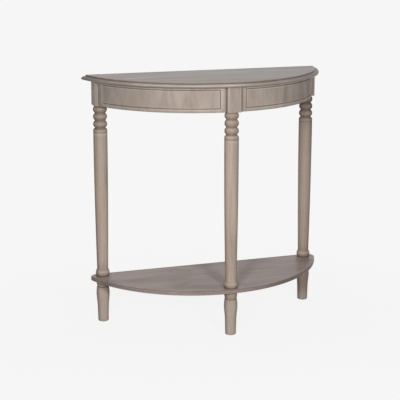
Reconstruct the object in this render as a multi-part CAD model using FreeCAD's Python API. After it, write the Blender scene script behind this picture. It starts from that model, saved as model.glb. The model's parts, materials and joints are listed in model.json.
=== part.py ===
"""Demilune console table: half-moon top and shelf, bent apron, three turned legs.

Millimetres, +Z up. The front faces -Y and the straight back edge faces +Y.
The origin lies on the floor, under the middle of the top's bounding box.
"""
import FreeCAD, Part
import math
import os

# Overall size of the table
table_height = 711.0
top_width = 713.0
top_depth = 287.0
top_thickness = 13.5

# Moulding on the curved edge of the top
edge_step_inset = 12.0
edge_step_drop = 4.0
edge_ledge = 1.5
edge_band = 0.5
edge_under_round = 3.5

# Leg axes, measured in from the top's tips, back edge and front edge
leg_inset_side = 45.0
leg_inset_back = 30.0
leg_inset_front = 38.0

# Leg blocks, bent apron panels and their incised border
block_size = 40.0
block_round = 4.0
centre_block_reach = 5.5
apron_height = 69.5
apron_thickness = 15.0
apron_recess = 4.0
apron_ease = 2.0
groove_width = 3.0
groove_depth = 2.0
groove_top_margin = 7.0
groove_bottom_margin = 9.5
groove_front_margin = 15.4
groove_rear_margin = 19.0

# Straight rail, brace and cleats under the top
rail_thickness = 18.0
rail_recess = 5.0
brace_width = 38.0
strip_thickness = 18.0
cleat_width = 18.0
cleat_length = 160.0

# Shelf, set in from the top's tips, front edge and back edge
shelf_inset_side = 2.0
shelf_inset_front = 15.0
shelf_inset_back = 11.0
shelf_thickness = 12.0
shelf_ease = 3.0
shelf_corner_round = 21.0

# Turned upper leg, from the block down to the shelf
fillet_height = 1.6
bead_count = 3
bead_pitch = 20.9
bead_diameter = 39.1
neck_diameter = 29.6
neck_flat = 2.0
shoulder_height = 11.0
shoulder_band = 2.0
scribe_width = 2.0
scribe_depth = 1.2
shaft_top_diameter = 39.5
shaft_foot_diameter = 31.5
shaft_swell = 1.0
cove_height = 4.5
cove_diameter = 34.0
collar_height = 18.0
collar_diameter = 39.2
collar_seat_diameter = 34.5

# Turned foot, from the shelf down to the floor
foot_height = 123.0
ring_height = 19.0
ring_diameter = 35.5
ring_end_diameter = 32.0
foot_neck_diameter = 30.0
foot_neck_height = 2.0
foot_shoulder_diameter = 34.5
vase_diameter = 37.6
vase_drop = 19.0
vase_waist_diameter = 33.8
vase_waist_height = 58.0
ankle_diameter = 31.4
ankle_height = 34.0
foot_base_diameter = 30.0
foot_base_round = 2.0

# Joinery and fasteners
fit_clearance = 0.15
hole_run_out = 1.0
dowel_diameter = 6.0
dowel_grip = 11.0
dowel_spread = 36.0
brace_dowel_spread = 20.0
pin_chamfer = 0.8
bolt_diameter = 8.0
bolt_wood_length = 30.0
insert_diameter = 12.0
insert_length = 15.0
bolt_reach = 20.0
screw_diameter = 4.0
screw_head_diameter = 8.0
screw_head_height = 2.6
screw_bite = 9.0
screw_point = 4.0

# Levels and planes that follow from the sizes above
top_underside = table_height - top_thickness
apron_bottom = top_underside - apron_height
apron_middle = top_underside - apron_height / 2
strip_underside = top_underside - strip_thickness
shelf_top = foot_height + shelf_thickness
back_y = top_depth / 2
front_y = -top_depth / 2
half_block = block_size / 2

leg_x = top_width / 2 - leg_inset_side
rear_leg_y = back_y - leg_inset_back
front_leg_y = front_y + leg_inset_front
leg_places = {
    "left": (-leg_x, rear_leg_y),
    "centre": (0.0, front_leg_y),
    "right": (leg_x, rear_leg_y),
}


def segment_radius(chord, rise):
    """Radius of the circle whose arc spans a chord and rises that far from it."""
    return (chord ** 2 / 4 + rise ** 2) / (2 * rise)


# The apron follows the circle that the three leg axes stand on
leg_circle_radius = segment_radius(2 * leg_x, rear_leg_y - front_leg_y)
frame_centre_y = front_leg_y + leg_circle_radius
apron_outer_radius = leg_circle_radius + half_block - apron_recess
apron_inner_radius = apron_outer_radius - apron_thickness
rear_block_front_y = rear_leg_y - half_block
rail_back_y = rear_leg_y + half_block - rail_recess
rail_front_y = rail_back_y - rail_thickness
rail_half_length = leg_x - half_block

Z_AXIS = FreeCAD.Vector(0, 0, 1)
MIRROR_PLANE = FreeCAD.Vector(1, 0, 0)
ORIGIN = FreeCAD.Vector(0, 0, 0)


def point(radius, height):
    """A point of a turning profile, drawn in the XZ plane."""
    return FreeCAD.Vector(radius, 0, height)


def line(start, end):
    return Part.LineSegment(start, end).toShape()


def arc(start, middle, end):
    return Part.Arc(start, middle, end).toShape()


def arc_between(start, end, rise):
    """An arc of a turning profile that swells outward by rise at its middle."""
    middle = (start + end) * 0.5 + point(rise, 0)
    return arc(start, middle, end)


def quarter_ellipse(centre, half_width, half_height):
    """The quarter from the top of an ellipse out to its right end, drawn in the XZ plane."""
    start = centre + point(0, half_height)
    end = centre + point(half_width, 0)
    curve = Part.BezierCurve()
    curve.setPoles([start, centre + point(half_width, half_height), end])
    curve.setWeight(2, math.sqrt(0.5))
    return curve.toShape()


def turn(edges):
    """Revolve a closed profile about the Z axis."""
    face = Part.Face(Part.Wire(edges))
    return face.revolve(ORIGIN, Z_AXIS, 360)


def turn_outline(outline):
    """Close an outline, listed from its top end down, to the axis and revolve it."""
    top = outline[0].valueAt(outline[0].FirstParameter)
    bottom = outline[-1].valueAt(outline[-1].LastParameter)
    closing = [
        line(bottom, point(0, bottom.z)),
        line(point(0, bottom.z), point(0, top.z)),
        line(point(0, top.z), top),
    ]
    return turn(outline + closing)


def polyline(points):
    return [line(a, b) for a, b in zip(points, points[1:])]


def box(x_range, y_range, z_range):
    corner = FreeCAD.Vector(x_range[0], y_range[0], z_range[0])
    size = [high - low for low, high in (x_range, y_range, z_range)]
    return Part.makeBox(*size, corner)


def moved(shape, x, y, z=0.0):
    copy = shape.copy()
    copy.translate(FreeCAD.Vector(x, y, z))
    return copy


def mirrored(shape):
    return shape.mirror(ORIGIN, MIRROR_PLANE)


def rod(diameter, start, direction, length):
    return Part.makeCylinder(diameter / 2, length, start, direction)


def pin(diameter, start, direction, length):
    """A round pin with chamfered ends."""
    radius = diameter / 2
    outline = polyline([
        point(radius - pin_chamfer, length),
        point(radius, length - pin_chamfer),
        point(radius, pin_chamfer),
        point(radius - pin_chamfer, 0),
    ])
    shape = turn_outline(outline)
    turned = FreeCAD.Rotation(Z_AXIS, direction)
    shape.Placement = FreeCAD.Placement(start, turned)
    return shape


def dowel_joint(face_point, direction):
    """A dowel centred on a joint face, and the hole that it needs on both sides."""
    start = face_point - direction * dowel_grip
    dowel = pin(dowel_diameter, start, direction, 2 * dowel_grip)
    hole_start = start - direction * hole_run_out
    hole_length = 2 * (dowel_grip + hole_run_out)
    hole = rod(dowel_diameter + 2 * fit_clearance, hole_start, direction, hole_length)
    return dowel, hole


def moulded_top():
    """Half-moon board: a turned disc with the moulded edge, cut off along the back."""
    radius = segment_radius(top_width, top_depth)
    ovolo_width = edge_step_inset - edge_ledge
    ovolo_height = top_thickness - edge_step_drop - edge_band - edge_under_round
    step_foot = table_height - edge_step_drop
    ovolo_foot = step_foot - ovolo_height
    round_top = top_underside + edge_under_round
    round_centre = point(radius - edge_under_round, round_top)
    half_way = edge_under_round * math.sqrt(0.5)
    outline = polyline([
        point(radius - edge_step_inset, table_height),
        point(radius - edge_step_inset, step_foot),
        point(radius - ovolo_width, step_foot),
    ])
    outline.append(quarter_ellipse(point(radius - ovolo_width, ovolo_foot), ovolo_width, ovolo_height))
    outline.append(line(point(radius, ovolo_foot), point(radius, round_top)))
    outline.append(arc(
        point(radius, round_top),
        round_centre + point(half_way, -half_way),
        point(radius - edge_under_round, top_underside),
    ))
    disc = moved(turn_outline(outline), 0, front_y + radius)
    room = box((-radius, radius), (front_y - radius, back_y), (0, 2 * table_height))
    return disc.common(room)


def half_moon(width, depth, chord_y, corner_round, z_range):
    """A half-moon board with its straight edge at chord_y and rounded back corners."""
    tip = width / 2
    left = FreeCAD.Vector(-tip, chord_y, z_range[0])
    nose = FreeCAD.Vector(0, chord_y - depth, z_range[0])
    right = FreeCAD.Vector(tip, chord_y, z_range[0])
    plan = Part.Face(Part.Wire([arc(left, nose, right), line(right, left)]))
    board = plan.extrude(Z_AXIS * (z_range[1] - z_range[0]))
    corners = [e for e in board.Edges if is_upright(e)]
    return board.makeFillet(corner_round, corners)


def is_upright(edge):
    box_of_edge = edge.BoundBox
    return box_of_edge.XLength + box_of_edge.YLength < box_of_edge.ZLength * 1e-3


def is_level(edge):
    box_of_edge = edge.BoundBox
    return box_of_edge.ZLength < (box_of_edge.XLength + box_of_edge.YLength) * 1e-3


def shelf_board():
    """Plain half-moon shelf, eased all round on both faces, with a bolt hole at each leg."""
    width = top_width - 2 * shelf_inset_side
    depth = top_depth - shelf_inset_front - shelf_inset_back
    board = half_moon(width, depth, back_y - shelf_inset_back, shelf_corner_round, (foot_height, shelf_top))
    board = board.makeFillet(shelf_ease, [e for e in board.Edges if is_level(e)])
    holes = [bolt_hole(x, y, foot_height, shelf_thickness) for x, y in leg_places.values()]
    return board.cut(holes)


def bolt_hole(x, y, z, length):
    start = FreeCAD.Vector(x, y, z)
    return rod(bolt_diameter + 2 * fit_clearance, start, Z_AXIS, length)


def insert_pocket(x, y, z, length):
    start = FreeCAD.Vector(x, y, z)
    return rod(insert_diameter + 2 * fit_clearance, start, Z_AXIS, length)


def threaded_insert(x, y, z):
    """A metal sleeve that a bolt screws into."""
    start = FreeCAD.Vector(x, y, z)
    sleeve = rod(insert_diameter, start, Z_AXIS, insert_length)
    return sleeve.cut(bolt_hole(x, y, z, insert_length))


def panel_angle(x):
    """Angle from the front, about the frame centre, of a point x on the apron's outer face."""
    return math.degrees(math.asin(x / apron_outer_radius))


def face_patch(side, shrink):
    """A bent slab sunk into a panel's outer face, smaller by shrink than the border's outer line."""
    rear_x = math.sqrt(apron_outer_radius ** 2 - (frame_centre_y - rear_block_front_y) ** 2)
    front_swing = math.degrees((groove_front_margin + shrink) / apron_outer_radius)
    rear_swing = math.degrees((groove_rear_margin + shrink) / apron_outer_radius)
    first, last = sorted((
        side * (panel_angle(half_block) + front_swing),
        side * (panel_angle(rear_x) - rear_swing),
    ))
    low = apron_bottom + groove_bottom_margin + shrink
    high = top_underside - groove_top_margin - shrink
    floor_radius = apron_outer_radius - groove_depth
    mouth_radius = apron_outer_radius + hole_run_out
    section = Part.Face(Part.Wire(polyline([
        point(floor_radius, low),
        point(mouth_radius, low),
        point(mouth_radius, high),
        point(floor_radius, high),
        point(floor_radius, low),
    ])))
    section.rotate(ORIGIN, Z_AXIS, first - 90)
    patch = section.revolve(ORIGIN, Z_AXIS, last - first)
    return moved(patch, 0, frame_centre_y)


def border_groove(side):
    """The incised line that frames the panel on one side, +1 for right."""
    return face_patch(side, 0).cut(face_patch(side, groove_width))


def bent_panel(side):
    """Apron panel on one side, +1 for right: a bent board from the centre block to a rear block."""
    edges = polyline([
        point(apron_outer_radius, apron_bottom + apron_ease),
        point(apron_outer_radius, top_underside),
        point(apron_inner_radius, top_underside),
        point(apron_inner_radius, apron_bottom),
        point(apron_outer_radius - apron_ease, apron_bottom),
        point(apron_outer_radius, apron_bottom + apron_ease),
    ])
    ring = moved(turn(edges), 0, frame_centre_y)
    room = box(
        sorted((side * half_block, side * apron_outer_radius)),
        (frame_centre_y - apron_outer_radius - block_size, rear_block_front_y),
        (apron_bottom, top_underside),
    )
    return ring.common(room).cut(border_groove(side))


def apron_joint_points():
    """Dowel places in the right panel's two end faces, with the dowels' directions."""
    to_block = frame_centre_y - rear_block_front_y
    inner_x = math.sqrt(apron_inner_radius ** 2 - to_block ** 2)
    outer_x = math.sqrt(apron_outer_radius ** 2 - (to_block + dowel_grip) ** 2)
    inner_y = frame_centre_y - math.sqrt(apron_inner_radius ** 2 - half_block ** 2)
    outer_y = frame_centre_y - math.sqrt(apron_outer_radius ** 2 - (half_block + dowel_grip) ** 2)
    joints = []
    for height in (apron_middle - dowel_spread / 2, apron_middle + dowel_spread / 2):
        rear = FreeCAD.Vector((inner_x + outer_x) / 2, rear_block_front_y, height)
        front = FreeCAD.Vector(half_block, (inner_y + outer_y) / 2, height)
        joints.append((rear, FreeCAD.Vector(0, 1, 0)))
        joints.append((front, FreeCAD.Vector(1, 0, 0)))
    return joints


def rail_joint_points():
    """Dowel places in the back rail's right end."""
    middle_y = (rail_front_y + rail_back_y) / 2
    heights = (apron_middle - dowel_spread / 2, apron_middle + dowel_spread / 2)
    return [(FreeCAD.Vector(rail_half_length, middle_y, z), FreeCAD.Vector(1, 0, 0)) for z in heights]


def brace_joint_points():
    """Dowel places in both ends of the brace."""
    height = top_underside - strip_thickness / 2
    joints = []
    for face_y in (front_leg_y + half_block, rail_front_y):
        for x in (-brace_dowel_spread / 2, brace_dowel_spread / 2):
            joints.append((FreeCAD.Vector(x, face_y, height), FreeCAD.Vector(0, 1, 0)))
    return joints


def leg_block(x, y, reach):
    """Block with rounded arrises, drawn out to the front by reach, bored for the insert and bolt."""
    sides = ((x - half_block, x + half_block), (y - half_block - reach, y + half_block))
    block = box(*sides, (apron_bottom, top_underside))
    block = block.makeFillet(block_round, [e for e in block.Edges if is_upright(e)])
    pocket = insert_pocket(x, y, apron_bottom, insert_length)
    shaft = bolt_hole(x, y, apron_bottom, bolt_reach + hole_run_out)
    return block.cut([pocket, shaft])


def bead_outline(top, height, widest, end):
    """Outline of one bead, from its upper neck down to its lower neck."""
    return arc_between(point(end / 2, top), point(end / 2, top - height), (widest - end) / 2)


def turned_leg():
    """Upper leg: fillet, beads, half-bead shoulder, scribed line, tapered shaft, cove and collar."""
    level = apron_bottom - fillet_height
    outline = [line(point(neck_diameter / 2, apron_bottom), point(neck_diameter / 2, level))]
    for _ in range(bead_count):
        outline.append(bead_outline(level, bead_pitch - neck_flat, bead_diameter, neck_diameter))
        neck_top = level - bead_pitch + neck_flat
        level = level - bead_pitch
        outline.append(line(point(neck_diameter / 2, neck_top), point(neck_diameter / 2, level)))
    swell = (shaft_top_diameter - neck_diameter) / 2
    shoulder_curve = shoulder_height - shoulder_band
    band_top = level - shoulder_curve
    band_foot = level - shoulder_height
    shaft_radius = shaft_top_diameter / 2
    bulge_point = point(neck_diameter / 2 + swell * math.sqrt(0.5), level - shoulder_curve * (1 - math.sqrt(0.5)))
    outline.append(arc(point(neck_diameter / 2, level), bulge_point, point(shaft_radius, band_top)))
    outline.extend(polyline([
        point(shaft_radius, band_top),
        point(shaft_radius, band_foot),
        point(shaft_radius - scribe_depth, band_foot - scribe_width / 2),
        point(shaft_radius, band_foot - scribe_width),
    ]))
    collar_top = shelf_top + collar_height
    shaft_foot = collar_top + cove_height
    shaft_start = point(shaft_radius, band_foot - scribe_width)
    shaft_end = point(shaft_foot_diameter / 2, shaft_foot)
    outline.append(arc_between(shaft_start, shaft_end, shaft_swell))
    cove_end = point(cove_diameter / 2, collar_top)
    cove_middle = (shaft_end + cove_end) * 0.5 - point((cove_diameter - shaft_foot_diameter) / 8, 0)
    outline.append(arc(shaft_end, cove_middle, cove_end))
    collar_widest = point(collar_diameter / 2, shelf_top + collar_height / 2)
    collar_seat = point(collar_seat_diameter / 2, shelf_top)
    outline.append(arc(cove_end, collar_widest, collar_seat))
    leg = turn_outline(outline)
    bolt_pocket = bolt_hole(0, 0, apron_bottom - bolt_wood_length - hole_run_out, bolt_wood_length + hole_run_out)
    insert_seat = insert_pocket(0, 0, shelf_top, insert_length)
    bolt_way = bolt_hole(0, 0, shelf_top, bolt_reach + hole_run_out)
    return leg.cut([bolt_pocket, insert_seat, bolt_way])


def turned_foot():
    """Foot: ring under the shelf, neck, vase-shaped body and eased base."""
    ring_foot = foot_height - ring_height
    body_top = ring_foot - foot_neck_height
    outline = [bead_outline(foot_height, ring_height, ring_diameter, ring_end_diameter)]
    outline.extend(polyline([
        point(ring_end_diameter / 2, ring_foot),
        point(foot_neck_diameter / 2, ring_foot),
        point(foot_neck_diameter / 2, body_top),
        point(foot_shoulder_diameter / 2, body_top),
    ]))
    base_top = point(foot_base_diameter / 2, foot_base_round)
    body = Part.BSplineCurve()
    body.interpolate([
        point(foot_shoulder_diameter / 2, body_top),
        point(vase_diameter / 2, body_top - vase_drop),
        point(vase_waist_diameter / 2, vase_waist_height),
        point(ankle_diameter / 2, ankle_height),
        base_top,
    ])
    outline.append(body.toShape())
    eased = foot_base_round * (1 - math.sqrt(0.5))
    outline.append(arc(
        base_top,
        point(foot_base_diameter / 2 - eased, eased),
        point(foot_base_diameter / 2 - foot_base_round, 0),
    ))
    foot = turn_outline(outline)
    pocket = bolt_hole(0, 0, foot_height - bolt_wood_length - hole_run_out, bolt_wood_length + hole_run_out)
    return foot.cut(pocket)


def hanger_bolt(x, y, lower, upper):
    start = FreeCAD.Vector(x, y, lower)
    return pin(bolt_diameter, start, Z_AXIS, upper - lower)


def countersunk_screw(clearance):
    """A screw pointing up, with its head's face at z = 0, or the hole that it needs."""
    length = strip_thickness + screw_bite
    head = screw_head_diameter / 2 + clearance
    shank = screw_diameter / 2 + clearance
    outline = polyline([
        point(0, length + clearance),
        point(shank, length - screw_point),
        point(shank, screw_head_height),
        point(head, 0),
        point(0, 0),
        point(0, length + clearance),
    ])
    return turn(outline)


def screw_places():
    """Screw axes: two along the brace and two along each cleat."""
    brace_front = front_leg_y + half_block
    brace_length = rail_front_y - brace_front
    places = [(0.0, brace_front + brace_length * share) for share in (0.25, 0.75)]
    cleat_y = rail_front_y - cleat_width / 2
    for side in (-1, 1):
        for share in (-0.25, 0.25):
            places.append((side * cleat_x() + cleat_length * share, cleat_y))
    return places


def cleat_x():
    """Middle of the right cleat, half way between the brace and the rear block."""
    return (brace_width / 2 + rail_half_length) / 2


def both_sides(joints):
    """Dowels and holes of joints on the right, with their mirror images."""
    dowels = []
    holes = []
    for face_point, direction in joints:
        dowel, hole = dowel_joint(face_point, direction)
        dowels.extend([dowel, mirrored(dowel)])
        holes.extend([hole, mirrored(hole)])
    return dowels, holes


def build():
    """All pieces of the table, by name."""
    apron_dowels, apron_holes = both_sides(apron_joint_points())
    rail_dowels, rail_holes = both_sides(rail_joint_points())
    brace_pairs = [dowel_joint(*joint) for joint in brace_joint_points()]
    brace_dowels = [dowel for dowel, _ in brace_pairs]
    brace_holes = [hole for _, hole in brace_pairs]
    screw = countersunk_screw(0)
    screw_hole = countersunk_screw(fit_clearance)
    screws = [moved(screw, x, y, strip_underside) for x, y in screw_places()]
    screw_holes = [moved(screw_hole, x, y, strip_underside) for x, y in screw_places()]

    rail = box((-rail_half_length, rail_half_length), (rail_front_y, rail_back_y), (apron_bottom, top_underside))
    brace = box(
        (-brace_width / 2, brace_width / 2),
        (front_leg_y + half_block, rail_front_y),
        (strip_underside, top_underside),
    )
    cleat = box(
        (cleat_x() - cleat_length / 2, cleat_x() + cleat_length / 2),
        (rail_front_y - cleat_width, rail_front_y),
        (strip_underside, top_underside),
    )
    pieces = {
        "table_top": moulded_top().cut(screw_holes),
        "apron_right": bent_panel(1).cut(apron_holes),
        "apron_left": bent_panel(-1).cut(apron_holes),
        "back_rail": rail.cut(rail_holes + brace_holes),
        "brace": brace.cut(brace_holes + screw_holes),
        "cleat_right": cleat.cut(screw_holes),
        "cleat_left": mirrored(cleat).cut(screw_holes),
        "shelf": shelf_board(),
    }
    leg = turned_leg()
    foot = turned_foot()
    leg_bolts = []
    foot_bolts = []
    block_inserts = []
    leg_inserts = []
    for side, (x, y) in leg_places.items():
        reach = centre_block_reach if side == "centre" else 0.0
        pieces["block_" + side] = leg_block(x, y, reach).cut(apron_holes + rail_holes + brace_holes)
        pieces["leg_" + side] = moved(leg, x, y)
        pieces["foot_" + side] = moved(foot, x, y)
        block_inserts.append(threaded_insert(x, y, apron_bottom))
        leg_inserts.append(threaded_insert(x, y, shelf_top))
        leg_bolts.append(hanger_bolt(x, y, apron_bottom - bolt_wood_length, apron_bottom + bolt_reach))
        foot_bolts.append(hanger_bolt(x, y, foot_height - bolt_wood_length, shelf_top + bolt_reach))
    groups = {
        "apron_dowels": apron_dowels,
        "rail_dowels": rail_dowels,
        "brace_dowels": brace_dowels,
        "top_screws": screws,
        "block_inserts": block_inserts,
        "leg_inserts": leg_inserts,
        "leg_bolts": leg_bolts,
        "foot_bolts": foot_bolts,
    }
    pieces.update({name: Part.makeCompound(solids) for name, solids in groups.items()})
    return pieces


def main():
    os.makedirs("parts", exist_ok=True)
    for name, shape in build().items():
        shape.exportStep(os.path.join("parts", name + ".step"))
        print(name, len(shape.Solids), "solids, valid", shape.isValid(), round(shape.Volume / 1000, 2), "cm3")


main()
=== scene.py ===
"""Looks of the demilune console table: finer meshes for the visible wood, procedural finishes, studio."""
import json
import math

import bpy
import numpy as np
from mathutils import Matrix, Vector


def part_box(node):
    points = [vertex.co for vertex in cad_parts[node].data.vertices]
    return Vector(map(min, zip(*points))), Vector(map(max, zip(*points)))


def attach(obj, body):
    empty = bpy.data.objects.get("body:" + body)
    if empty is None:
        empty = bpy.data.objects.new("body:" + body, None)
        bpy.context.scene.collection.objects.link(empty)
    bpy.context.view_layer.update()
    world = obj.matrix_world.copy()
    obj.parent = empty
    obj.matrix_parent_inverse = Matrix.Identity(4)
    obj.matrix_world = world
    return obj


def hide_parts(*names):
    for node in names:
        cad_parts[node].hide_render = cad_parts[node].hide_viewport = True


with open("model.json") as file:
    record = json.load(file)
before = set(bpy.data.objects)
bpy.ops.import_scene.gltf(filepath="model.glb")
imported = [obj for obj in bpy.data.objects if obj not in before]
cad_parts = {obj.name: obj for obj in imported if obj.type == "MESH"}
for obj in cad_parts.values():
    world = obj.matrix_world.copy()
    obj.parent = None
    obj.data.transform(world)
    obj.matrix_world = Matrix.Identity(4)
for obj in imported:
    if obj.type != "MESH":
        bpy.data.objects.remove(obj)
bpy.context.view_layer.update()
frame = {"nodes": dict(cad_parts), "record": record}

MM = 0.001
DIAGONAL = math.sqrt(0.5)
SIDES = {"left": -1, "centre": 0, "right": 1}

# Sizes of the solids, in millimetres
TOP_INSET, TOP_DROP, TOP_LEDGE, TOP_BAND, TOP_ROUND = 12.0, 4.0, 1.5, 0.5, 3.5
BLOCK_ROUND = 4.0
APRON_THICKNESS, APRON_RECESS, APRON_EASE = 15.0, 4.0, 2.0
GROOVE_DEPTH = 2.0
GROOVE_TOP, GROOVE_BOTTOM, GROOVE_FRONT, GROOVE_REAR = 8.5, 11.0, 16.9, 20.5
SHELF_WIDTH, SHELF_EASE, SHELF_ROUND = 709.0, 3.0, 21.0
FILLET, BEADS, BEAD_PITCH, BEAD_WIDE, NECK_WIDE, NECK_FLAT = 1.6, 3, 20.9, 39.1, 29.6, 2.0
SHOULDER, SHOULDER_BAND, SCRIBE_WIDTH, SCRIBE_DEPTH = 11.0, 2.0, 2.0, 1.2
SHAFT_TOP, SHAFT_FOOT, SHAFT_SWELL = 39.5, 31.5, 1.0
COVE_HEIGHT, COVE_WIDE, COVE_HOLLOW = 4.5, 34.0, 0.3125
COLLAR_HEIGHT, COLLAR_WIDE, COLLAR_SEAT = 18.0, 39.2, 34.5
RING_HEIGHT, RING_WIDE, RING_END = 19.0, 35.5, 32.0
FOOT_NECK_WIDE, FOOT_NECK_HEIGHT = 30.0, 2.0
VASE_WIDE, BELLY_WIDE, BELLY_DROP = 34.5, 37.6, 19.0
VASE_TAPER = ((33.8, 58.0), (31.4, 34.0))
BASE_WIDE, BASE_EASE = 30.0, 2.0

# Lines softened here that are sharp in the solids, in millimetres
SOFT_TOP, SOFT_LEG, SOFT_FOOT = 0.7, 0.35, 0.5
BLOCK_FOOT_EASE, BLOCK_TOP_EASE = 1.0, 0.3
# Lips of the incised line: distances from its middle and shares of its depth there
LIP_PLACES, LIP_SHARES = (0.0, 0.5, 1.1, 1.5, 2.1), (1.0, 0.9, 0.45, 0.08, 0.0)

# Steps of the meshes
SWEEP_STEPS, LATHE_STEPS, OVOLO_STEPS, CORNER_STEPS, BLOCK_STEPS = 120, 72, 10, 12, 8
APRON_COLUMNS, APRON_ROWS = 56, 10
# Turns, in degrees, above which a profile's corner is softened and a mesh's edge is drawn sharp
SOFT_ANGLE, SHARP_ANGLE = 25, 32
# Largest part of a neighbouring line that a softened corner takes
SOFT_SHARE = 0.45
# Width of the flat border inside the moulding, and distance that the apron's grid keeps from an incised line
TOP_MARGIN, GROOVE_MARGIN = 2.0, 3.0
# Points closer than this are one point
SAME_POINT = 1e-6

# Curvature, per metre, where hollows start to darken with painted shade and arrises and bead crests to
# lighten with rubbed wear and painted highlight, and spans to the full tone
DIP_START, DIP_SPAN, JUT_START, JUT_SPAN = 120.0, 360.0, 62.0, 90.0
# Distance from an arris at which its rubbed tone ends, and share of the rubbed tone all over the feet
WEAR_REACH, FOOT_RUBBED = 1.5, 0.3

# Darker shares, mostly painted shade: shade under and beside parts, in hollows and on sides that the lamps
# light less, with some dark joints. Distances are in millimetres, and shares are parts of each finish's
# painted-shade strength.
# Distances from a seam, a dark joint or the line under the top with painted shade beside it, at which its
# dark tone thins and ends
SEAM_CORE, SEAM_REACH = 2.0, 4.5
# Times that a seam is narrower at the rear end of an apron, at the ends of turned pieces, where it is painted
# contact shade, and above a collar
REAR_PINCH, END_PINCH, CREASE_PINCH = 2, 3, 2
# Shares of painted shade in scribed lines, above collars and on the left block's front arris, and of a darker
# tone all over the centre block
SCRIBE_SHADE, CREASE_SHADE, BLOCK_DARK, BLOCK_ARRIS_SHADE = 0.4, 0.6, 0.3, 0.65
# Width of the painted shade on the left block's front arris, measured on its front face
BLOCK_ARRIS_REACH = 7.0
# Share on the shelf's upper arris, and distances from its eased back edge at which that thins and ends
SHELF_ARRIS_DARK, BACK_CORE, BACK_REACH = 1.0, 3.0, 8.0
# Depths below the shelf's face, in parts of its ease, between which its upper arris goes from edge to face
SHELF_ARRIS_PLACES = (1.0, 0.5, 0.125, 0.0)
# Darker share on the moulding's step, and painted shade on its lower round, with heights at which that of the
# round thins and ends
STEP_DARK, UNDER_SHADE = 0.6, 0.75
UNDER_CORE, UNDER_REACH = 3.6, 5.0
# Places from left to right, and shares of painted shade there: on the moulding towards its tips and right of
# the centre, on the aprons at the left end and in the centre block's shadow, and on the shelf's edge towards
# its ends
MOULD_SHADE = (
    (-356.0, -314.0, -250.0, -155.0, -60.0, -20.0, 45.0, 130.0, 195.0, 240.0, 356.0),
    (0.9, 0.65, 0.25, 0.2, 0.0, 0.0, 0.6, 0.5, 0.6, 0.7, 0.95),
)
APRON_SHADE = (-300.0, -215.0, -160.0, -60.0, 30.0, 60.0, 110.0), (0.2, 0.2, 0.0, 0.0, 0.2, 0.2, 0.0)
EDGE_SHADE = (-350.0, -220.0, 20.0, 140.0), (0.8, 0.4, 0.4, 1.0)
# Heights above the foot of an apron and of a collar, and depths below the shelf on a foot, and shares of
# painted shade there: along the apron's lower edge, on a collar's lower half and under the shelf
APRON_FOOT_SHADE = (0.0, 2.0, 3.5), (0.8, 0.5, 0.0)
COLLAR_SHADE = (0.0, 3.0, 9.0, 14.0), (1.0, 0.8, 0.5, 0.0)
FOOT_SHADE = (0.0, 5.0, 9.0, 14.0, 18.0, 24.0, 45.0), (1.0, 0.8, 0.6, 0.75, 0.5, 0.4, 0.0)
# Strength of the painted shade on each leg's collar and foot
COLLAR_SHADE_SHARE = {"left": 1.1, "centre": 1.0, "right": 1.4}
FOOT_SHADE_SHARE = {"left": 0.25, "centre": 1.0, "right": 0.5}
# Places from the top of each bead down to its foot, in parts of its pitch, and shares of painted shade there:
# more on the lower half that faces away from the lamps, most on the right leg in the apron's shadow
BEAD_PLACES = (0.0, 0.15, 0.35, 0.6, 0.85, 1.0)
BEAD_SHADE = {
    "left": (1.1, 0.8, 0.55, 1.05, 1.2, 1.1),
    "centre": (0.2, 0.25, 0.65, 0.95, 0.9, 0.2),
    "right": (1.4, 1.1, 0.9, 1.1, 1.4, 1.4),
}
# Places from the foot of each shaft up to its top, in parts of its height, and shares of painted shade there,
# darker near the shelf and under the beads
SHAFT_PLACES = (0.0, 0.07, 0.45, 0.75, 0.92, 1.0)
SHAFT_SHADE = {
    "left": (0.6, 0.05, 0.1, 0.4, 0.4, 0.4),
    "centre": (0.0, 0.0, 0.05, 0.1, 0.2, 0.2),
    "right": (0.85, 0.4, 0.25, 0.45, 0.7, 1.0),
}


# Curves and profiles
def box_mm(node):
    """Lowest and highest corner of a CAD node, in millimetres."""
    low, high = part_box(node)
    return low / MM, high / MM


def arc_radius(half_chord, rise):
    """Radius of the circle over a chord, from half its length and its rise."""
    return (half_chord ** 2 + rise ** 2) / (2 * rise)


def quarter_turn(steps):
    """Angles from 0 to a quarter turn, both included."""
    return [math.pi / 2 * i / steps for i in range(steps + 1)]


def arc(a, m, b, count):
    """Points along the circle through a, m and b, a and b included."""
    (ax, ay), (mx, my), (bx, by) = a, m, b
    d = 2 * (ax * (my - by) + mx * (by - ay) + bx * (ay - my))
    sa, sm, sb = ax * ax + ay * ay, mx * mx + my * my, bx * bx + by * by
    cx = (sa * (my - by) + sm * (by - ay) + sb * (ay - my)) / d
    cy = (sa * (bx - mx) + sm * (ax - bx) + sb * (mx - ax)) / d
    radius = math.hypot(ax - cx, ay - cy)
    start = math.atan2(ay - cy, ax - cx)
    sweep = [(math.atan2(y - cy, x - cx) - start) % math.tau for x, y in (m, b)]
    turn = sweep[1] if sweep[0] <= sweep[1] else sweep[1] - math.tau
    angles = [start + turn * i / count for i in range(count + 1)]
    return [(cx + radius * math.cos(t), cy + radius * math.sin(t)) for t in angles]


def bulge(a, b, rise, count):
    """Arc between two points of a turning profile that swells outward by rise at its middle."""
    return arc(a, ((a[0] + b[0]) / 2 + rise, (a[1] + b[1]) / 2), b, count)


def rounded_arris(radius, foot, ease, count):
    """Quarter round from an upright face at a radius down to an underside at height foot."""
    inset = ease * (1 - DIAGONAL)
    return arc((radius, foot + ease), (radius - inset, foot + inset), (radius - ease, foot), count)


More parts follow.
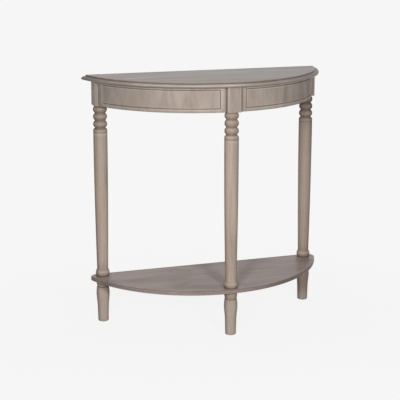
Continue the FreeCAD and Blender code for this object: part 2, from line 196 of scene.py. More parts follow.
def spline(knots, count):
    """Smooth curve through (radius, height) knots that fall in height, as radius over height."""
    heights = np.array([z for _, z in knots])[::-1]
    radii = np.array([r for r, _ in knots])[::-1]
    n = len(heights)
    gaps = np.diff(heights)
    matrix, right = np.eye(n), np.zeros(n)
    for i in range(1, n - 1):
        matrix[i, i - 1:i + 2] = gaps[i - 1], 2 * (gaps[i - 1] + gaps[i]), gaps[i]
        right[i] = 6 * ((radii[i + 1] - radii[i]) / gaps[i] - (radii[i] - radii[i - 1]) / gaps[i - 1])
    bend = np.linalg.solve(matrix, right)
    points = []
    for z in np.linspace(heights[-1], heights[0], count + 1):
        i = min(max(int(np.searchsorted(heights, z)) - 1, 0), n - 2)
        a, b, h = heights[i + 1] - z, z - heights[i], gaps[i]
        r = (bend[i] * a ** 3 + bend[i + 1] * b ** 3) / (6 * h)
        r += (radii[i] / h - bend[i] * h / 6) * a + (radii[i + 1] / h - bend[i + 1] * h / 6) * b
        points.append((float(r), float(z)))
    return points


def joined(*runs):
    """One run of points, without the doubles where runs meet."""
    points = []
    for run in runs:
        for p in run:
            if not points or math.dist(points[-1], p) > SAME_POINT:
                points.append(p)
    return points


def softened(points, radius, steps):
    """Round each corner of a profile that turns by more than the soft angle."""
    result = [points[0]]
    for before, here, after in zip(points, points[1:], points[2:]):
        u = Vector((here[0] - before[0], here[1] - before[1]))
        v = Vector((after[0] - here[0], after[1] - here[1]))
        if u.angle(v) < math.radians(SOFT_ANGLE):
            result.append(here)
            continue
        cut = min(radius, u.length * SOFT_SHARE, v.length * SOFT_SHARE)
        start = Vector(here) - u.normalized() * cut
        end = Vector(here) + v.normalized() * cut
        for i in range(steps + 1):
            t = i / steps
            p = start * (1 - t) ** 2 + Vector(here) * 2 * t * (1 - t) + end * t ** 2
            result.append((p.x, p.y))
    result.append(points[-1])
    return result


def top_profile(radius, low, high):
    """Moulding of the top from its upper face down and under: step, ledge, ovolo and lower round."""
    shoulder = radius - TOP_INSET
    step_z = high - TOP_DROP
    ovolo_wide = TOP_INSET - TOP_LEDGE
    ovolo_foot = low + TOP_BAND + TOP_ROUND
    ovolo_high = step_z - ovolo_foot
    step = [(shoulder - TOP_MARGIN, high), (shoulder, high), (shoulder, step_z)]
    ledge = [(radius - ovolo_wide, step_z)]
    ovolo = []
    for t in quarter_turn(OVOLO_STEPS):
        ovolo.append((radius - ovolo_wide * (1 - math.sin(t)), ovolo_foot + ovolo_high * math.cos(t)))
    under = rounded_arris(radius, low, TOP_ROUND, count=5)
    inner_end = [(radius - TOP_ROUND - TOP_MARGIN, low)]
    return softened(joined(step, ledge, ovolo, under, inner_end), SOFT_TOP, steps=3)


def leg_profile(low, high):
    """Leg from the block down: fillet, beads, shoulder, scribed line, tapered shaft, cove and collar."""
    neck, bead, wide = NECK_WIDE / 2, BEAD_WIDE / 2, SHAFT_TOP / 2
    runs = [[(neck, high)]]
    level = high - FILLET
    for _ in range(BEADS):
        foot = level - BEAD_PITCH
        runs.append(bulge((neck, level), (neck, foot + NECK_FLAT), bead - neck, count=14))
        runs.append([(neck, foot)])
        level = foot
    band = level - SHOULDER + SHOULDER_BAND
    shoulder_mid = (neck + (wide - neck) * DIAGONAL, level - (level - band) * (1 - DIAGONAL))
    runs.append(arc((neck, level), shoulder_mid, (wide, band), count=8))
    foot = level - SHOULDER
    runs.append([(wide, foot), (wide - SCRIBE_DEPTH, foot - SCRIBE_WIDTH / 2), (wide, foot - SCRIBE_WIDTH)])
    collar = low + COLLAR_HEIGHT
    shaft_end = (SHAFT_FOOT / 2, collar + COVE_HEIGHT)
    runs.append(bulge((wide, foot - SCRIBE_WIDTH), shaft_end, SHAFT_SWELL, count=40))
    cove_end = (COVE_WIDE / 2, collar)
    runs.append(bulge(shaft_end, cove_end, -COVE_HOLLOW, count=6))
    runs.append(arc(cove_end, (COLLAR_WIDE / 2, low + COLLAR_HEIGHT / 2), (COLLAR_SEAT / 2, low), count=14))
    return softened(joined(*runs), SOFT_LEG, steps=2)


def foot_profile(high):
    """Foot from the shelf down: ring, neck, vase-shaped body and eased base."""
    ring_foot = high - RING_HEIGHT
    body_top = ring_foot - FOOT_NECK_HEIGHT
    ring = bulge((RING_END / 2, high), (RING_END / 2, ring_foot), (RING_WIDE - RING_END) / 2, count=12)
    neck = [(FOOT_NECK_WIDE / 2, ring_foot), (FOOT_NECK_WIDE / 2, body_top)]
    knots = [(VASE_WIDE, body_top), (BELLY_WIDE, body_top - BELLY_DROP), *VASE_TAPER, (BASE_WIDE, BASE_EASE)]
    body = spline([(wide / 2, z) for wide, z in knots], count=36)
    toe = rounded_arris(BASE_WIDE / 2, 0.0, BASE_EASE, count=5)
    return softened(joined(ring, neck, body, toe), SOFT_FOOT, steps=2)


# Painted shade, painted highlight and wear
def near(distance):
    """1 on a seam and in its core, falling to 0 at the end of its reach."""
    return float(np.interp(distance, (SEAM_CORE, SEAM_REACH), (1.0, 0.0)))


def leg_shade(name, low, high):
    """Function that gives a leg's share of painted shade at a height: on beads, shaft and collar, and in
    creases.
    """
    beads = high - FILLET
    scribe = beads - BEADS * BEAD_PITCH - SHOULDER - SCRIBE_WIDTH / 2
    collar = low + COLLAR_HEIGHT

    def share(z):
        if z > scribe:
            broad = np.interp((beads - z) / BEAD_PITCH % 1.0, BEAD_PLACES, BEAD_SHADE[name])
        elif z > collar:
            broad = np.interp((z - collar) / (scribe - collar), SHAFT_PLACES, SHAFT_SHADE[name])
        else:
            broad = COLLAR_SHADE_SHARE[name] * np.interp(z - low, *COLLAR_SHADE)
        scribed = SCRIBE_SHADE * near(abs(z - scribe))
        creased = CREASE_SHADE * near(CREASE_PINCH * abs(z - collar))
        return max(float(broad), scribed, creased)

    return share


def foot_shade(name, high):
    """Function that gives a foot's share of painted shade at a height: under the shelf, on its ring, fading
    below.
    """
    return lambda z: FOOT_SHADE_SHARE[name] * float(np.interp(high - z, *FOOT_SHADE))


def surface_marks(mesh, dark_shares, rubbed_and_highlight):
    """Write the dark tone, mostly painted shade, and the light tone of arrises, rubbed wear and painted
    highlight, as values of the vertices.

    The light tone is at least the given share, and gives way to the dark one.
    """
    count = len(mesh.vertices)
    co = np.zeros(count * 3)
    normal = np.zeros(count * 3)
    ends = np.zeros(len(mesh.edges) * 2, np.int32)
    mesh.vertices.foreach_get("co", co)
    mesh.vertex_normals.foreach_get("vector", normal)
    mesh.edges.foreach_get("vertices", ends)
    co, normal, ends = co.reshape(-1, 3), normal.reshape(-1, 3), ends.reshape(-1, 2)
    step = co[ends[:, 1]] - co[ends[:, 0]]
    swing = normal[ends[:, 1]] - normal[ends[:, 0]]
    bend = (swing * step).sum(1) / np.maximum((step * step).sum(1), 1e-12)
    jut, dip = np.zeros(count), np.zeros(count)
    for column in (0, 1):
        np.maximum.at(jut, ends[:, column], bend)
        np.maximum.at(dip, ends[:, column], -bend)
    dark = np.maximum(np.clip((dip - DIP_START) / DIP_SPAN, 0.0, 1.0), dark_shares)
    worn_and_highlight = np.clip((jut - JUT_START) / JUT_SPAN, rubbed_and_highlight, 1.0) * np.clip(1.0 - dark, 0.0, 1.0)
    for name, values in (("wear_and_highlight", worn_and_highlight), ("dark", dark)):
        mesh.attributes.new(name, "FLOAT", "POINT").data.foreach_set("value", values.astype(np.float32))


# Meshes, in millimetres; each shape is its vertices, its faces and the dark share of each vertex, mostly
# painted shade
def piece(name, shape, node, slot, rubbed_and_highlight=0.0):
    """A mesh that stands for a CAD node and rides with the table."""
    vertices, faces, dark_shares = shape
    mesh = bpy.data.meshes.new(name)
    mesh.from_pydata([Vector(v) * MM for v in vertices], [], faces)
    mesh.validate()
    mesh.update()
    surface_marks(mesh, np.array(dark_shares), rubbed_and_highlight)
    mesh.polygons.foreach_set("use_smooth", [True] * len(mesh.polygons))
    mesh.set_sharp_from_angle(angle=math.radians(SHARP_ANGLE))
    shown = bpy.data.objects.new(name, mesh)
    bpy.context.scene.collection.objects.link(shown)
    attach(shown, "root")
    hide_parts(node)
    shown.data.materials.append(finish[slot])


def tube_faces(rings, count, rising=False):
    """Faces of rings of points joined one to the next and closed at both ends; rising turns them over."""
    faces = []
    for i in range(rings - 1):
        a, b = i * count, (i + 1) * count
        for k in range(count):
            n = (k + 1) % count
            faces.append((a + k, a + n, b + n, b + k) if rising else (a + k, b + k, b + n, a + n))
    first, last = range(count), range((rings - 1) * count, rings * count)
    faces += [tuple(reversed(first)), tuple(last)] if rising else [tuple(first), tuple(reversed(last))]
    return faces


def lathe(profile, x, y, shade_at):
    """A turned piece, its profile listed from the top down; the last argument gives the share of painted
    shade at a height.
    """
    vertices = []
    for radius, z in profile:
        for k in range(LATHE_STEPS):
            angle = math.tau * k / LATHE_STEPS
            vertices.append((x + radius * math.cos(angle), y + radius * math.sin(angle), z))
    top, bottom = profile[0][1], profile[-1][1]
    dark_shares = []
    for _, z in profile:
        # Painted contact shade at both ends, and the given painted shade
        at_end = near(END_PINCH * min(top - z, z - bottom))
        dark_shares += [max(at_end, shade_at(z))] * LATHE_STEPS
    return vertices, tube_faces(len(profile), LATHE_STEPS), dark_shares


def stacked(outline, levels):
    """Vertices and faces of a board: an outline of (x, y, normal x, normal y) set in at each level."""
    vertices = [(x - nx * inset, y - ny * inset, z) for inset, z in levels for x, y, nx, ny in outline]
    return vertices, tube_faces(len(levels), len(outline), rising=True)


def eased_levels(low, high, low_ease, high_ease, steps):
    """Insets and heights of a board's edge, rounded below and above."""
    levels = [(low_ease + WEAR_REACH, low)]
    for t in quarter_turn(steps):
        levels.append((low_ease * (1 - math.sin(t)), low + low_ease * (1 - math.cos(t))))
    levels += [(0.0, low + low_ease + WEAR_REACH), (0.0, high - high_ease - WEAR_REACH)]
    for t in quarter_turn(steps):
        levels.append((high_ease * (1 - math.cos(t)), high - high_ease * (1 - math.sin(t))))
    levels.append((high_ease + WEAR_REACH, high))
    return levels


def corner(cx, cy, radius, first, last, steps):
    """Outline points round a corner, with their outward normals."""
    points = []
    for i in range(steps + 1):
        t = math.radians(first + (last - first) * i / steps)
        points.append((cx + radius * math.cos(t), cy + radius * math.sin(t), math.cos(t), math.sin(t)))
    return points


def slid(place, distance):
    """An outline point moved along its edge."""
    x, y, nx, ny = place
    return x - ny * distance, y + nx * distance, nx, ny


def top_mesh():
    """Half-moon top: the moulding swept from tip to tip, each of its lines ending in the back plane."""
    low, high = box_mm("table_top")
    radius = arc_radius(high.x, high.y - low.y)
    centre_y = low.y + radius
    profile = top_profile(radius, low.z, high.z)
    vertices = []
    for r, z in profile:
        reach = math.acos((centre_y - high.y) / r)
        for j in range(SWEEP_STEPS + 1):
            t = reach * (2 * j / SWEEP_STEPS - 1)
            vertices.append((r * math.sin(t), centre_y - r * math.cos(t), z))
    width = SWEEP_STEPS + 1
    faces = []
    for i in range(len(profile) - 1):
        for j in range(SWEEP_STEPS):
            a = i * width + j
            faces.append((a, a + width, a + width + 1, a + 1))
    last = (len(profile) - 1) * width
    for j in range(SWEEP_STEPS // 2):
        a, b, c, d = j, j + 1, SWEEP_STEPS - j - 1, SWEEP_STEPS - j
        upper = (a, b, c, d) if b != c else (a, b, d)
        faces.append(upper)
        faces.append(tuple(last + k for k in reversed(upper)))
    left_end = [i * width for i in range(len(profile))]
    right_end = [i * width + SWEEP_STEPS for i in range(len(profile))]
    faces.append(tuple(reversed(left_end)) + tuple(right_end))
    flat = 2 * width
    dark_shares = [0.0] * flat
    # Painted shade on the moulding's lower round, towards its tips and right of the centre, and a darker
    # share on its step
    for x, _, z in vertices[flat:]:
        along = np.interp(x, *MOULD_SHADE)
        below = max(UNDER_SHADE, along)
        share = float(np.interp(z - low.z, (UNDER_CORE, UNDER_REACH), (below, along)))
        on_step = high.z - TOP_DROP < z < high.z
        dark_shares.append(max(share, STEP_DARK * on_step))
    return vertices, faces, dark_shares


def shelf_mesh():
    """Half-moon shelf with rounded back corners and eased edges."""
    low, high = box_mm("shelf")
    radius = arc_radius(SHELF_WIDTH / 2, high.y - low.y)
    centre_y = low.y + radius
    corner_y = high.y - SHELF_ROUND
    corner_x = math.sqrt((radius - SHELF_ROUND) ** 2 - (corner_y - centre_y) ** 2)
    meet = math.degrees(math.atan2(corner_y - centre_y, corner_x))
    outline = corner(0, centre_y, radius, -180 - meet, meet, SWEEP_STEPS)
    outline += corner(corner_x, corner_y, SHELF_ROUND, meet, 90, CORNER_STEPS)[1:]
    outline += corner(-corner_x, corner_y, SHELF_ROUND, 90, 180 - meet, CORNER_STEPS)[:-1]
    levels = eased_levels(low.z, high.z, SHELF_EASE, SHELF_EASE, steps=5)
    levels.append((SHELF_EASE + BACK_REACH, high.z))
    vertices, faces = stacked(outline, levels)
    heights = [high.z - SHELF_EASE * part for part in SHELF_ARRIS_PLACES]
    dark_shares = []
    # Painted shade on the edge towards its ends, and darker shares on the upper arris and near the back
    for x, y, z in vertices:
        on_edge = float(np.interp(x, *EDGE_SHADE))
        at_back = SHELF_ARRIS_DARK * (y > high.y - SHELF_EASE - BACK_CORE)
        shares = (on_edge, SHELF_ARRIS_DARK, SHELF_ARRIS_DARK, at_back)
        dark_shares.append(float(np.interp(z, heights, shares)))
    return vertices, faces, dark_shares


def block_mesh(node):
    """Square leg block with rounded arrises and a lightly eased lower end."""
    low, high = box_mm(node)
    outline = []
    for x, y, first in ((high.x, high.y, 0), (low.x, high.y, 90), (low.x, low.y, 180), (high.x, low.y, 270)):
        cx = x - math.copysign(BLOCK_ROUND, x - (low.x + high.x) / 2)
        cy = y - math.copysign(BLOCK_ROUND, y - (low.y + high.y) / 2)
        turn = corner(cx, cy, BLOCK_ROUND, first, first + 90, BLOCK_STEPS)
        outline += [slid(turn[0], -SEAM_REACH), slid(turn[0], -WEAR_REACH)]
        outline += turn
        outline += [slid(turn[-1], WEAR_REACH), slid(turn[-1], SEAM_REACH)]
    vertices, faces = stacked(outline, eased_levels(low.z, high.z, BLOCK_FOOT_EASE, BLOCK_TOP_EASE, steps=3))
    # Painted shade on the left block's front arris, and a darker tone all over the centre block
    if node == "block_left":
        edge_x, edge_y = low.x + BLOCK_ARRIS_REACH, low.y + BLOCK_ROUND
        dark_shares = [BLOCK_ARRIS_SHADE * (x < edge_x and y < edge_y) for x, y, _ in vertices]
    else:
        dark_shares = [BLOCK_DARK * (node == "block_centre")] * len(vertices)
    return vertices, faces, dark_shares


def groove_depth(distance):
    """Depth of the incised line at a distance from its middle, with softened lips."""
    return GROOVE_DEPTH * float(np.interp(abs(distance), LIP_PLACES, LIP_SHARES))


def with_groove_lines(low, high, lines, gaps):
    """Grid positions from low to high, closely spaced across each groove line."""
    places = {low, high}
    for at in lines:
        for off in LIP_PLACES:
            places.update((at - off, at + off))
    for k in range(1, gaps):
        between = low + (high - low) * k / gaps
        if all(abs(between - at) > GROOVE_MARGIN for at in lines):
            places.add(between)
    return sorted(places)


def apron_mesh(side):
    """Bent apron panel with its incised border cut into the outer face."""
    low, high = box_mm("apron_right")
    half_block = box_mm("block_centre")[1].x
    rear_low, rear_high = box_mm("block_right")
    leg_low, leg_high = box_mm("leg_centre")
    leg_x = (rear_low.x + rear_high.x) / 2
    rear_y = (rear_low.y + rear_high.y) / 2
    front_y = (leg_low.y + leg_high.y) / 2
    leg_circle = arc_radius(leg_x, rear_y - front_y)
    centre_y = front_y + leg_circle
    outer = leg_circle + half_block - APRON_RECESS
    inner = outer - APRON_THICKNESS

    def ends(radius):
        return math.asin(half_block / radius), math.acos((centre_y - rear_low.y) / radius)

    first, last = ends(outer)
    length = (last - first) * outer
    lines_s = (GROOVE_FRONT, length - GROOVE_REAR)
    lines_z = (low.z + GROOVE_BOTTOM, high.z - GROOVE_TOP)
    columns = with_groove_lines(0.0, length, lines_s, APRON_COLUMNS)
    columns += [SEAM_CORE, SEAM_REACH, length - SEAM_REACH / REAR_PINCH, length - SEAM_CORE / REAR_PINCH]
    columns.sort()
    rows = with_groove_lines(low.z + APRON_EASE, high.z, lines_z, APRON_ROWS)
    rows += [low.z + APRON_EASE + WEAR_REACH, high.z - SEAM_REACH, high.z - SEAM_CORE]
    rows.sort()
    bottom = rounded_arris(outer, low.z, APRON_EASE, count=4)[:0:-1]
    section = bottom + [(outer, z) for z in rows] + [(inner, high.z), (inner, low.z)]
    vertices = []
    dark_shares = []
    for s in columns:
        for radius, z in section:
            a, b = ends(radius)
            angle = a + (b - a) * s / length
            border = max(lines_s[0] - s, s - lines_s[1], lines_z[0] - z, z - lines_z[1])
            sunk = groove_depth(border) if radius == outer else 0.0
            r = radius - sunk
            x = side * r * math.sin(angle)
            vertices.append((x, centre_y - r * math.cos(angle), z))
            # Dark joints at the blocks, painted shade under the top and along the lower edge, and at the left
            # end and right of the centre block
            broad = max(np.interp(x, *APRON_SHADE), np.interp(z - low.z, *APRON_FOOT_SHADE))
            seam_and_shade = near(min(s, REAR_PINCH * (length - s), high.z - z))
            dark_shares.append(max(seam_and_shade, float(broad)))
    faces = tube_faces(len(columns), len(section))
    if side < 0:
        faces = [tuple(reversed(face)) for face in faces]
    return vertices, faces, dark_shares


# Shader nodes
def add(tree, kind, inputs=None, **settings):
    """A new node with its settings; each input takes a link from a socket, or a value."""
    made = tree.nodes.new(kind)
    for key, value in settings.items():
        setattr(made, key, value)
    for key, source in (inputs or {}).items():
        if isinstance(source, bpy.types.NodeSocket):
            tree.links.new(source, made.inputs[key])
        else:
            made.inputs[key].default_value = source
    return made


def mixed(tree, factor, a, b, blend="MIX"):
    """Colour output of a mix, whose colour sockets are inputs 6 and 7 and output 2."""
    return add(tree, "ShaderNodeMix", {0: factor, 6: a, 7: b}, data_type="RGBA", blend_type=blend).outputs[2]


def ramped(tree, source, *stops):
    """Colour output of a linear ramp; stops are (position, colour)."""
    made = add(tree, "ShaderNodeValToRGB", {0: source})
    elements = made.color_ramp.elements
    while len(elements) < len(stops):
        elements.new(0.5)
    for element, (position, colour) in zip(elements, stops):
        element.position = position
        element.color = colour
    return made.outputs[0]


def ranged(tree, source, span, to):
    """Value carried from one span to another and held at its ends."""
    inputs = {"Value": source, "From Min": span[0], "From Max": span[1], "To Min": to[0], "To Max": to[1]}
    return add(tree, "ShaderNodeMapRange", inputs).outputs[0]


def maths(tree, operation, a, b):
    """Value output of a sum, product or the like of two sockets or values."""
    return add(tree, "ShaderNodeMath", {0: a, 1: b}, operation=operation).outputs[0]


def blended(tree, factor, first, second):
    """Shader output that goes from a first to a second shader node."""
    return add(tree, "ShaderNodeMixShader", {0: factor, 1: first.outputs[0], 2: second.outputs[0]}).outputs[0]


def object_coords(tree):
    """Coordinates of the object itself, in metres."""
    return add(tree, "ShaderNodeTexCoord").outputs["Object"]


def stretched_noise(tree, coords, along, grain, detail, roughness, distortion=0.0):
    """Noise drawn out along one axis; grain is its feature size across and along, in metres."""
    across, length = grain
    scale = [1 / across] * 3
    scale["XYZ".index(along)] = 1 / length
    mapping = add(tree, "ShaderNodeMapping", {"Vector": coords, "Scale": scale})
    noise = add(tree, "ShaderNodeTexNoise", {
        "Vector": mapping.outputs["Vector"], "Scale": 1.0,
        "Detail": detail, "Roughness": roughness, "Distortion": distortion,
    })
    return noise.outputs["Fac"]


def bumped(tree, shader, height, strength, distance):
    """Give a shader fine relief from a height socket."""
    bump = add(tree, "ShaderNodeBump", {"Height": height, "Strength": strength, "Distance": distance})
    tree.links.new(bump.outputs["Normal"], shader.inputs["Normal"])


def grey(value):
    """Scene-linear grey."""
    return (value, value, value, 1.0)


def rgb(red, green, blue):
    """Scene-linear colour from display values of 0 to 255."""
    def linear(value):
        c = value / 255
        return c / 12.92 if c <= 0.04045 else ((c + 0.055) / 1.055) ** 2.4
    return (linear(red), linear(green), linear(blue), 1.0)


def blank_material(name):
    """A material with an empty node tree."""
    material = bpy.data.materials.new(name)
    material.use_nodes = True
    material.node_tree.nodes.clear()
    return material, material.node_tree


def plain_material(name):
    """A material with one principled shader."""
    material, tree = blank_material(name)
    shader = add(tree, "ShaderNodeBsdfPrincipled")
    add(tree, "ShaderNodeOutputMaterial", {"Surface": shader.outputs[0]})
    return material, tree, shader


# Finishes: tones are dark, middle and light
WARM = (rgb(149, 132, 119), rgb(168, 152, 139), rgb(183, 169, 156))
DULL = (rgb(130, 116, 106), rgb(151, 139, 130), rgb(169, 158, 148))
COOL = (rgb(146, 137, 132), rgb(160, 152, 147), rgb(170, 162, 157))
# PALE, the top's tones, are paler and cooler in part as painted sheen, the satin top's reflection of the pale
# backdrop
PALE = (rgb(145, 133, 127), rgb(165, 153, 147), rgb(181, 170, 164))
DEEP = (rgb(136, 121, 115), rgb(154, 138, 133), rgb(169, 154, 149))
BARE = (rgb(182, 146, 104), rgb(206, 172, 128), rgb(220, 192, 150))
ZINC = ((0.42, 0.42, 0.40, 1.0), (0.66, 0.65, 0.62, 1.0))
# Dark tone of cloudy glaze and of painted shade, and light tone of rubbed wear and of painted highlights
GLAZE_AND_SHADE = rgb(92, 79, 70)
WORN_AND_HIGHLIGHT = rgb(202, 194, 184)
# Feature sizes across and along the grain, in metres
FIBRES, PORES, CLOUDS = (0.0011, 0.030), (0.0007, 0.009), (0.07, 0.16)
BARE_LINES, BARE_FIBRES = (0.006, 0.30), (0.0009, 0.02)
ZINC_PATCHES, ZINC_SCRATCHES = (0.006, 0.006), (0.004, 0.0004)
# Stained finishes: fine is the strength of fibres and pores, the next that of painted shade and glaze in
# hollows, at seams and where marked, mottle that of cloudy glaze, and rough the least and the most roughness
STAINS = {
    "top_wood": dict(along="X", tones=PALE, streak=(0.022, 0.45), fine=0.35, painted_shade=0.85, mottle=0.35,
                     rough=(0.32, 0.40), gloss=0.18),
    "apron_wood": dict(along="Z", tones=DULL, streak=(0.034, 0.11), fine=0.45, painted_shade=0.55, mottle=0.35,
                       rough=(0.46, 0.60), gloss=0.2),
    "block_wood": dict(along="Z", tones=DULL, streak=(0.020, 0.11), fine=0.45, painted_shade=0.80, mottle=0.30,
                       rough=(0.46, 0.60), gloss=0.2),
    "turned_wood": dict(along="Z", tones=WARM, streak=(0.014, 0.30), fine=0.45, painted_shade=0.50, mottle=0.18,
                        rough=(0.34, 0.46), gloss=0.0),
    "shelf_wood": dict(along="X", tones=DEEP, streak=(0.022, 0.40), fine=0.35, painted_shade=0.70, mottle=0.50,
                       rough=(0.28, 0.36), gloss=0.13),
    "rail_wood": dict(along="X", tones=COOL, streak=(0.016, 0.22), fine=0.55, painted_shade=0.80, mottle=0.30,
                      rough=(0.52, 0.66), gloss=0.2),
}


def stained_wood(name, along, tones, streak, fine, painted_shade, mottle, rough, gloss):
    """Stained wood: streaks and fibres along one axis, cloudy glaze, painted shade in hollows and where
    marked, rubbed arrises and painted highlights.
    """
    material, tree, shader = plain_material(name)
    coords = object_coords(tree)
    streaks = stretched_noise(tree, coords, along, streak, detail=4.0, roughness=0.55, distortion=0.8)
    fibres = stretched_noise(tree, coords, along, FIBRES, detail=3.0, roughness=0.65)
    pores = stretched_noise(tree, coords, along, PORES, detail=2.0, roughness=0.5)
    clouds = stretched_noise(tree, coords, along, CLOUDS, detail=3.0, roughness=0.55, distortion=0.3)

    dark, mid, light = tones
    fibre_tone = ramped(tree, fibres, (0.3, grey(0.80)), (0.68, grey(1.08)))
    pore_tone = ramped(tree, pores, (0.30, grey(0.62)), (0.40, grey(1.0)))
    colour = ramped(tree, streaks, (0.16, dark), (0.5, mid), (0.84, light))
    colour = mixed(tree, fine, colour, fibre_tone, "MULTIPLY")
    colour = mixed(tree, fine, colour, pore_tone, "MULTIPLY")
    colour = mixed(tree, ranged(tree, clouds, (0.46, 0.72), (0.0, mottle)), colour, GLAZE_AND_SHADE)

    # Painted shade: occlusion by nearby surfaces darkens the colour, as glaze in hollows and as shade where
    # parts meet and under overhangs
    occlusion_shade = add(tree, "ShaderNodeAmbientOcclusion", {"Distance": 0.010}, samples=8).outputs["AO"]
    colour = mixed(tree, ranged(tree, occlusion_shade, (0.88, 0.42), (0.0, painted_shade)), colour, GLAZE_AND_SHADE)
    # Painted shade, with some dark joints, from the vertices' dark share
    seam_and_shade = add(tree, "ShaderNodeAttribute", attribute_name="dark").outputs["Fac"]
    colour = mixed(tree, maths(tree, "MULTIPLY", seam_and_shade, painted_shade), colour, GLAZE_AND_SHADE)
    # Rubbed wear on arrises, with painted highlight on bead crests and the moulding
    rubbed_and_highlight = add(tree, "ShaderNodeAttribute", attribute_name="wear_and_highlight").outputs["Fac"]
    broken = ranged(tree, clouds, (0.34, 0.58), (0.08, 0.40))
    colour = mixed(tree, maths(tree, "MULTIPLY", rubbed_and_highlight, broken), colour, WORN_AND_HIGHLIGHT)
    tree.links.new(colour, shader.inputs["Base Color"])

    smooth, dull = rough
    tree.links.new(ranged(tree, streaks, (0.3, 0.7), (dull, smooth)), shader.inputs["Roughness"])
    shader.inputs["Specular IOR Level"].default_value = gloss
    relief = maths(tree, "ADD", maths(tree, "MULTIPLY", fibres, 0.5), maths(tree, "MULTIPLY", pores, 0.5))
    bumped(tree, shader, relief, strength=0.35, distance=0.0003)
    return material


def bare_wood(name, along, tones):
    """Unfinished softwood with growth lines and fine fibres."""
    material, tree, shader = plain_material(name)
    coords = object_coords(tree)
    lines = stretched_noise(tree, coords, along, BARE_LINES, detail=4.0, roughness=0.55, distortion=0.8)
    fibres = stretched_noise(tree, coords, along, BARE_FIBRES, detail=2.0, roughness=0.6)
    dark, mid, light = tones
    fibre_tone = ramped(tree, fibres, (0.3, grey(0.78)), (0.7, grey(1.08)))
    colour = ramped(tree, lines, (0.34, dark), (0.48, mid), (0.62, light))
    colour = mixed(tree, 0.5, colour, fibre_tone, "MULTIPLY")
    tree.links.new(colour, shader.inputs["Base Color"])
    tree.links.new(ranged(tree, fibres, (0.3, 0.7), (0.82, 0.66)), shader.inputs["Roughness"])
    bumped(tree, shader, fibres, strength=0.4, distance=0.0004)
    return material


def zinc_plate(name, tones):
    """Zinc-plated steel with fine scratches and dull patches."""
    material, tree, shader = plain_material(name)
    coords = object_coords(tree)
    patches = stretched_noise(tree, coords, "Z", ZINC_PATCHES, detail=3.0, roughness=0.6)
    scratches = stretched_noise(tree, coords, "Z", ZINC_SCRATCHES, detail=2.0, roughness=0.6)
    dull, bright = tones
    colour = ramped(tree, patches, (0.3, dull), (0.7, bright))
    tree.links.new(colour, shader.inputs["Base Color"])
    tree.links.new(ranged(tree, scratches, (0.3, 0.7), (0.28, 0.46)), shader.inputs["Roughness"])
    shader.inputs["Metallic"].default_value = 1.0
    bumped(tree, shader, scratches, strength=0.2, distance=0.0002)
    return material


# The table: every node takes its finish, and the pieces that the photograph shows get finer meshes
finish = {name: stained_wood(name, **stain) for name, stain in STAINS.items()}
finish["raw_wood"] = bare_wood("raw_wood", "X", BARE)
finish["zinc_steel"] = zinc_plate("zinc_steel", ZINC)

for part in frame["record"]["subparts"]:
    solid = frame["nodes"][part["node"]]
    solid.data.materials.clear()
    solid.data.materials.append(finish[part["material_slot"]])

piece("moulded_top", top_mesh(), "table_top", "top_wood")
piece("half_moon_shelf", shelf_mesh(), "shelf", "shelf_wood")
for name, side in SIDES.items():
    low, high = box_mm("leg_" + name)
    axis = ((low.x + high.x) / 2, (low.y + high.y) / 2)
    turned = lathe(leg_profile(low.z, high.z), *axis, leg_shade(name, low.z, high.z))
    piece("turned_leg_" + name, turned, "leg_" + name, "turned_wood")
    foot_top = box_mm("foot_" + name)[1].z
    turned = lathe(foot_profile(foot_top), *axis, foot_shade(name, foot_top))
    piece("turned_foot_" + name, turned, "foot_" + name, "turned_wood", FOOT_RUBBED)
    piece("leg_block_" + name, block_mesh("block_" + name), "block_" + name, "block_wood")
    if side:
        piece("bent_panel_" + name, apron_mesh(side), "apron_" + name, "apron_wood")


# Studio, in metres: pale floor that fades into the backdrop, soft lamps, camera at the photograph's place
BACKDROP, FLOOR_TONE = rgb(246, 246, 246), rgb(142, 142, 144)
FLOOR_REACH = 30.0
# Distances from the object over which the floor fades, and how much of the backdrop it shows there
FADE_SPAN, FADE_SHARES = (0.35, 0.85), (0.94, 1.0)
AMBIENT = 0.025
KEY_AIM, BACK_AIM, OVERHEAD_AIM = (0.0, 0.0, 0.35), (0.0, 0.0, 0.40), (0.0, 0.0, 0.6)
KEY_SIZE, BACK_SIZE, OVERHEAD_SIZE = (0.3, 0.4), (0.8, 0.7), (2.4, 1.8)


def shows_backdrop(tree):
    """1 for rays that see the backdrop itself, 0 for rays that light the object."""
    path = add(tree, "ShaderNodeLightPath").outputs
    seen = maths(tree, "MAXIMUM", path["Is Camera Ray"], path["Is Glossy Ray"])
    return maths(tree, "MAXIMUM", seen, path["Is Transmission Ray"])


def pale_floor():
    """Floor that looks like the backdrop and keeps a faint shadow round the object."""
    mesh = bpy.data.meshes.new("floor")
    corners = [(x * FLOOR_REACH, y * FLOOR_REACH, 0) for x, y in ((-1, -1), (1, -1), (1, 1), (-1, 1))]
    mesh.from_pydata(corners, [], [(0, 1, 2, 3)])
    floor = bpy.data.objects.new("floor", mesh)
    bpy.context.scene.collection.objects.link(floor)
    material, tree = blank_material("floor")
    seen = shows_backdrop(tree)
    matt = add(tree, "ShaderNodeBsdfDiffuse", {"Color": mixed(tree, seen, FLOOR_TONE, BACKDROP)})
    glow = add(tree, "ShaderNodeEmission", {"Color": BACKDROP, "Strength": 1.0})
    away = add(tree, "ShaderNodeVectorMath", {0: object_coords(tree)}, operation="LENGTH").outputs["Value"]
    fade = ranged(tree, away, FADE_SPAN, FADE_SHARES)
    surface = blended(tree, maths(tree, "MULTIPLY", fade, seen), matt, glow)
    add(tree, "ShaderNodeOutputMaterial", {"Surface": surface})
    floor.data.materials.append(material)


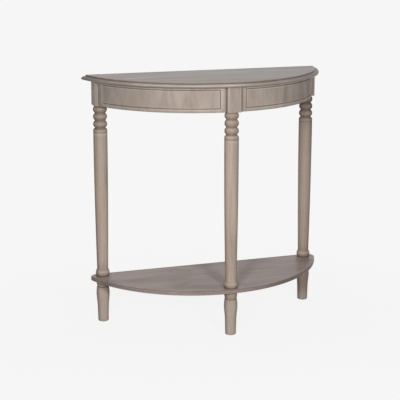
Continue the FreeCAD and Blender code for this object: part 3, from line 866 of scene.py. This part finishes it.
def studio_world(ambient):
    """World that shows the backdrop and gives a weak ambient light."""
    world = bpy.data.worlds.new("studio")
    bpy.context.scene.world = world
    world.use_nodes = True
    tree = world.node_tree
    tree.nodes.clear()
    light = add(tree, "ShaderNodeBackground", {"Color": grey(1.0), "Strength": ambient})
    view = add(tree, "ShaderNodeBackground", {"Color": BACKDROP, "Strength": 1.0})
    add(tree, "ShaderNodeOutputWorld", {"Surface": blended(tree, shows_backdrop(tree), light, view)})


def soft_lamp(name, place, aim, size, watts):
    """Rectangular lamp that lights the object without glaring back from its satin boards."""
    data = bpy.data.lights.new(name, "AREA")
    data.shape = "RECTANGLE"
    data.size, data.size_y = size
    data.energy = watts
    lamp = bpy.data.objects.new(name, data)
    lamp.location = place
    lamp.rotation_euler = (Vector(aim) - Vector(place)).to_track_quat("-Z", "Y").to_euler()
    lamp.visible_camera = False
    lamp.visible_glossy = False
    bpy.context.scene.collection.objects.link(lamp)


def photo_camera(heading, pitch, distance, aim, slide, lens, rise):
    """Camera that looks along a heading and down by pitch, set off sideways and up from its aim's line."""
    heading, pitch = math.radians(heading), math.radians(pitch)
    level = math.cos(pitch)
    forward = Vector((math.sin(heading) * level, math.cos(heading) * level, -math.sin(pitch)))
    right = Vector((math.cos(heading), -math.sin(heading), 0.0))
    up = right.cross(forward)
    data = bpy.data.cameras.new("camera")
    data.sensor_fit = "HORIZONTAL"
    data.sensor_width = 36.0
    data.lens = lens
    data.shift_y = rise
    camera = bpy.data.objects.new("camera", data)
    turn = Matrix((right, up, -forward)).transposed().to_4x4()
    place = Vector(aim) - forward * distance - right * slide[0] - up * slide[1]
    camera.matrix_world = Matrix.Translation(place) @ turn
    bpy.context.scene.collection.objects.link(camera)
    bpy.context.scene.camera = camera


pale_floor()
studio_world(AMBIENT)
soft_lamp("key_left", (-1.14, -1.70, 1.00), KEY_AIM, KEY_SIZE, watts=28.0)
soft_lamp("key_right", (0.10, -2.05, 1.00), KEY_AIM, KEY_SIZE, watts=27.0)
soft_lamp("overhead", (0.0, 0.3, 2.6), OVERHEAD_AIM, OVERHEAD_SIZE, watts=14.0)
soft_lamp("back_right", (1.30, 1.61, 0.45), BACK_AIM, BACK_SIZE, watts=19.0)
soft_lamp("back_left", (-0.30, 2.05, 0.45), BACK_AIM, BACK_SIZE, watts=19.0)
photo_camera(heading=18.1381, pitch=11.0596, distance=3.11930, aim=(0.0, 0.0013, 0.3555),
             slide=(0.05197, -0.14433), lens=99.426, rise=-0.125)
bpy.context.scene.view_settings.view_transform = "Standard"
